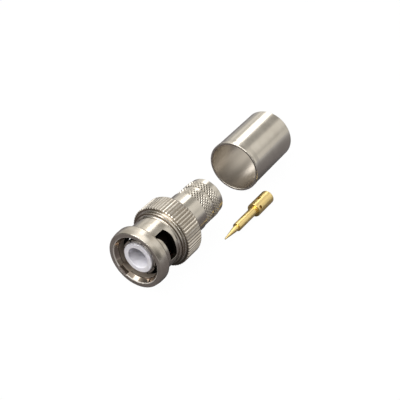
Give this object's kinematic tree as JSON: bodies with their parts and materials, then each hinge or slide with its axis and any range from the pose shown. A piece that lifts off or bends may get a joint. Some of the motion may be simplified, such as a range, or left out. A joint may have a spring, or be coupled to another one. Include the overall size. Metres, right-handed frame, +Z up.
{
  "type": "bayonet coaxial plug kit",
  "caption": "Crimp bayonet coaxial plug for thick cable, with a turning spring-loaded coupling nut, its loose crimp ferrule and its loose gold-plated centre contact.",
  "frame": {"origin": "centre of the plug's mating mouth, on the plug's axis, in the plane of the coupling nut's front face", "axes": "+Z up from the table the pieces lie on, -Y out of the mating mouth along the plug's axis, +X to the side where the centre contact lies"},
  "size_m": [0.0179, 0.0583, 0.0144],
  "materials": {
    "nickel_plate": "bright nickel plate on turned brass",
    "gold_plate": "gold plate on turned brass",
    "white_dielectric": "smooth white dielectric plastic",
    "silicone_rubber": "matt red-brown silicone rubber",
    "spring_steel": "plain spring steel"
  },
  "bodies": {
    "plug_body": {"outer_contact": "nickel_plate", "insulator": "white_dielectric", "gasket": "silicone_rubber", "wave_washer": "spring_steel", "retaining_ring": "spring_steel", "crimp_body": "nickel_plate", "ferrule": "nickel_plate", "center_contact": "gold_plate"},
    "slip_washer": {"thrust_washer": "spring_steel"},
    "nut": {"coupling_nut": "nickel_plate"}
  },
  "joints": [
    {"name": "nut_draw", "type": "slide", "parent": "plug_body", "child": "slip_washer", "axis": [0, -1, 0], "range_m": [0, 0.0006], "stiffness_N_per_m": 12000, "springref_m": -0.0002, "deforming": ["wave_washer"]},
    {"name": "nut_turn", "type": "hinge", "parent": "slip_washer", "child": "nut", "pos_m": [0, 0.0118, 0], "axis": [0, 1, 0], "continuous": true}
  ]
}
